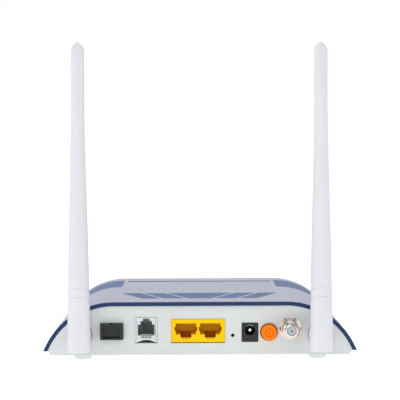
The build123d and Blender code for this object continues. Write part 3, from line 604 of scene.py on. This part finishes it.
def coax_socket():
    """Nickel barrel with a real helical thread, a turned front ring and a bore."""
    node = "coax_socket_body"
    low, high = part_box(node)
    centre = centre_of("coax_socket_dielectric")
    nut_low, nut_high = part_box("coax_socket_nut")
    front = low.y
    thread_from, thread_to = front + LEAD_IN, nut_low.y - 0.1 * MM

    def groove(y, angle):
        turn = ((y - thread_from) / THREAD_PITCH - angle / (2 * math.pi)) % 1.0
        fade = smoothstep(0, THREAD_FADE[0], y - thread_from) * smoothstep(0, THREAD_FADE[1], thread_to - y)
        return THREAD_DEPTH * fade * smoothstep(0.1, 0.9, 1 - abs(2 * turn - 1))

    lip = BARREL_RADIUS - LEAD_IN
    mouth = [
        (BARREL_BORE, high.y),
        (BARREL_BORE, front + 0.4 * MM),
        (BARREL_BORE + 0.06 * MM, front + 0.12 * MM),
        (BARREL_BORE + 0.2 * MM, front),
        (lip - 0.1 * MM, front),
        (lip + 0.04 * MM, front + 0.06 * MM),
        (BARREL_RADIUS - 0.1 * MM, thread_from - 0.14 * MM),
    ]
    points = []
    for radius, y in mouth:
        points += ring_y(centre, y, radius, BARREL_SEGMENTS)
    for row in range(THREAD_ROWS + 1):
        y = thread_from + (thread_to - thread_from) * row / THREAD_ROWS
        points += ring_y(centre, y, BARREL_RADIUS, BARREL_SEGMENTS, groove)
    for y in (nut_high.y, high.y):
        points += ring_y(centre, y, 4.6 * MM, BARREL_SEGMENTS)
    faces = grid_faces(len(points) // BARREL_SEGMENTS, BARREL_SEGMENTS)
    last = len(points) - BARREL_SEGMENTS
    for step in range(BARREL_SEGMENTS):
        beside = (step + 1) % BARREL_SEGMENTS
        faces.append((last + step, last + beside, beside, step))
    piece = new_piece("coax_threaded_barrel", points, faces, "case", "coax_nickel", 40)
    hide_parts(node)


# ---------------------------------------------------------------- power button
BUTTON_RADIUS = 4.4 * MM
BUTTON_RIM = 0.45 * MM
BUTTON_DISH = 0.12 * MM
COLLAR_RADIUS = BUTTON_RADIUS + 0.9 * MM
COLLAR_FROM, COLLAR_TO = 7.0 * MM, 7.6 * MM
STEM_RADIUS = 1.5 * MM
BUTTON_RINGS, BUTTON_SEGMENTS = 60, 128
ENGRAVED_DEPTH = 0.16 * MM
ENGRAVED_RADIUS = 2.25 * MM
ENGRAVED_RING = (0.26 * MM, 0.12 * MM)
ENGRAVED_BAR = (0.28 * MM, 0.12 * MM)
ENGRAVED_BAR_END = (1.25 * MM, 1.0 * MM)


def mark_depth(x, z):
    """Depth of the engraved power mark, a ring and a bar, at a place on the cap."""
    ring = smoothstep(*ENGRAVED_RING, abs(math.hypot(x, z) - ENGRAVED_RADIUS))
    bar = smoothstep(*ENGRAVED_BAR, abs(x)) * smoothstep(*ENGRAVED_BAR_END, abs(z))
    return ENGRAVED_DEPTH * max(ring, bar)


def power_button():
    """Round cap with a soft rim, a slight dish and the engraved mark, on a collar and a stem."""
    node = "power_button"
    low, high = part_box(node)
    centre = centre_of(node)
    front = low.y
    points = [Vector((centre.x, front + mark_depth(0, 0), centre.z))]
    for ring in range(1, BUTTON_RINGS + 1):
        radius = BUTTON_RADIUS * ring / BUTTON_RINGS
        over = max(radius - (BUTTON_RADIUS - BUTTON_RIM), 0.0)
        depth = BUTTON_RIM - math.sqrt(max(BUTTON_RIM ** 2 - over ** 2, 0.0))
        depth += BUTTON_DISH * smoothstep(BUTTON_RADIUS, 0.3 * BUTTON_RADIUS, radius)
        for place in ring_y(centre, front + depth, radius, BUTTON_SEGMENTS):
            place.y += mark_depth(place.x - centre.x, place.z - centre.z)
            points.append(place)
    collar = [(BUTTON_RADIUS, COLLAR_FROM), (COLLAR_RADIUS, COLLAR_FROM), (COLLAR_RADIUS, COLLAR_TO),
              (STEM_RADIUS, COLLAR_TO), (STEM_RADIUS, high.y - front)]
    for radius, behind in collar:
        points += ring_y(centre, front + behind, radius, BUTTON_SEGMENTS)
    faces = [(0, 1 + step, 1 + (step + 1) % BUTTON_SEGMENTS) for step in range(BUTTON_SEGMENTS)]
    for face in grid_faces(BUTTON_RINGS + len(collar), BUTTON_SEGMENTS):
        faces.append(tuple(index + 1 for index in reversed(face)))
    faces.append(tuple(range(len(points) - BUTTON_SEGMENTS, len(points))))
    piece = new_piece("power_button_cap", points, faces, "power_button", "button_orange", 40)
    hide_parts(node)


# ---------------------------------------------------------------- stage, light and camera
SENSOR_WIDTH = 36.0
LENS = 106.65
EYE_DISTANCE = 680.0 * MM
EYE_HEIGHT = 127.0 * MM
EYE_PITCH = 1.0
EYE_ROLL = 0.2
EYE_YAW = 0.4
EYE_AIM_X = 0.33 * MM
HORIZON = 0.15
FLOOR_RADIUS, FLOOR_SEGMENTS = 6.0, 96
FLOOR_GLOW = 0.55
TENT_HEIGHT = ((0.0, 0.43), (0.8, 0.77))
TENT_DEPTH = (-0.2, 0.8)
TENT_BACK = 0.45
PATCH_SCALE = 2.6
PATCH_EDGE = (0.47, 0.50)
TENT_GAP = 0.12


def stage():
    """A pale round floor."""
    angles = [2 * math.pi * step / FLOOR_SEGMENTS for step in range(FLOOR_SEGMENTS)]
    points = [(0, 0, 0)]
    points += [(FLOOR_RADIUS * math.cos(angle), FLOOR_RADIUS * math.sin(angle), 0) for angle in angles]
    faces = [(0, 1 + step, 1 + (step + 1) % FLOOR_SEGMENTS) for step in range(FLOOR_SEGMENTS)]
    mesh = bpy.data.meshes.new("studio_floor")
    mesh.from_pydata(points, [], faces)
    floor = bpy.data.objects.new("studio_floor", mesh)
    bpy.context.scene.collection.objects.link(floor)
    made = Shader("studio_floor_paint")
    greys = [(0.3, (0.84, 0.84, 0.84)), (0.7, (0.87, 0.87, 0.87))]
    made.drive("Base Color", made.ramp(made.noise(3.0, 3.0), greys))
    made.fixed(Roughness=0.9, Specular_IOR_Level=0.0, Emission_Strength=FLOOR_GLOW)
    made.fixed(Emission_Color=(1.0, 1.0, 1.0, 1.0))
    mesh.materials.append(made.material)


def softbox(name, place, target, size, power):
    """A white rectangular light at a place, turned to face a target."""
    data = bpy.data.lights.new(name, "AREA")
    data.shape = "RECTANGLE"
    data.size, data.size_y = size
    data.energy = power
    light = bpy.data.objects.new(name, data)
    light.location = place
    light.rotation_euler = (Vector(target) - Vector(place)).to_track_quat("-Z", "Y").to_euler()
    bpy.context.scene.collection.objects.link(light)


def studio_world():
    """White backdrop for the camera. All other rays see a tent, paler overhead and darker at the back.

    Mirror rays also see dark gaps in it.
    """
    world = bpy.data.worlds.new("studio_tent")
    bpy.context.scene.world = world
    world.use_nodes = True
    tree = world.node_tree

    def add(kind, **settings):
        made = tree.nodes.new(kind)
        for key, value in settings.items():
            setattr(made, key, value)
        return made

    def spread(source, ends, low, high):
        span = add("ShaderNodeMapRange")
        for key, value in zip(("From Min", "From Max", "To Min", "To Max"), (*ends, low, high)):
            span.inputs[key].default_value = value
        tree.links.new(source, span.inputs["Value"])
        return span.outputs["Result"]

    direction = add("ShaderNodeTexCoord").outputs["Generated"]
    parts = add("ShaderNodeSeparateXYZ")
    tree.links.new(direction, parts.inputs[0])
    height = add("ShaderNodeValToRGB")
    for element, (position, grey) in zip(height.color_ramp.elements, TENT_HEIGHT):
        element.position = position
        element.color = (grey, grey, grey, 1.0)
    tree.links.new(parts.outputs["Z"], height.inputs["Fac"])
    back = spread(parts.outputs["Y"], TENT_DEPTH, 1.0, TENT_BACK)
    patches = add("ShaderNodeTexNoise")
    patches.inputs["Scale"].default_value = PATCH_SCALE
    patches.inputs["Detail"].default_value = 1.0
    tree.links.new(direction, patches.inputs["Vector"])
    gaps = spread(patches.outputs["Fac"], PATCH_EDGE, TENT_GAP, 1.0)
    path = add("ShaderNodeLightPath")
    mirror_only = add("ShaderNodeMix")
    mirror_only.inputs[2].default_value = 1.0
    tree.links.new(path.outputs["Is Glossy Ray"], mirror_only.inputs[0])
    tree.links.new(gaps, mirror_only.inputs[3])
    level = height.outputs["Color"]
    for factor in (back, mirror_only.outputs[0]):
        product = add("ShaderNodeVectorMath", operation="MULTIPLY")
        tree.links.new(level, product.inputs[0])
        tree.links.new(factor, product.inputs[1])
        level = product.outputs[0]
    seen = add("ShaderNodeMix", data_type="RGBA")
    seen.inputs[7].default_value = (1.0, 1.0, 1.0, 1.0)
    tree.links.new(path.outputs["Is Camera Ray"], seen.inputs["Factor"])
    tree.links.new(level, seen.inputs[6])
    tree.links.new(seen.outputs[2], tree.nodes["Background"].inputs["Color"])


def lights():
    """A key from the upper left, a low fill into the sockets, a top light and a strip at each side."""
    studio_world()
    softbox("key_softbox", (-0.4, -1.3, 1.2), (0, 0, 0.06), (0.9, 0.9), 3.4)
    softbox("front_fill", (-0.12, -1.6, 0.22), (0, -0.05, 0.03), (0.35, 0.3), 1.3)
    softbox("top_softbox", (0.0, 0.2, 1.5), (0, 0, 0.03), (1.2, 1.0), 6.4)
    softbox("left_strip", (-1.1, -0.25, 0.45), (0, -0.05, 0.03), (0.25, 0.8), 1.7)
    softbox("right_strip", (1.1, -0.25, 0.45), (0, -0.05, 0.03), (0.25, 0.8), 0.9)


def camera():
    """The eye faces the socket panel from a little above it. HORIZON is the share of the picture's
    side by which the horizon lies above the middle, got by shifting the lens rather than tilting it."""
    data = bpy.data.cameras.new("photo_camera")
    data.sensor_width = SENSOR_WIDTH
    data.lens = LENS
    data.shift_y = LENS / SENSOR_WIDTH * math.tan(math.radians(EYE_PITCH)) - HORIZON
    data.clip_start = 50.0 * MM
    eye = bpy.data.objects.new("photo_camera", data)
    panel_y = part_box("bottom_case")[0].y
    yaw = math.radians(EYE_YAW)
    eye.location = (EYE_AIM_X - EYE_DISTANCE * math.tan(yaw), panel_y - EYE_DISTANCE, EYE_HEIGHT)
    eye.rotation_euler = (math.radians(90.0 - EYE_PITCH), math.radians(EYE_ROLL), -yaw)
    bpy.context.scene.collection.objects.link(eye)
    bpy.context.scene.camera = eye
    bpy.context.scene.view_settings.view_transform = "Standard"


# ---------------------------------------------------------------- making
camera()
stage()
lights()
finish_nodes()
for side in ("left", "right"):
    aerial_sleeve(side)
coax_socket()
power_button()
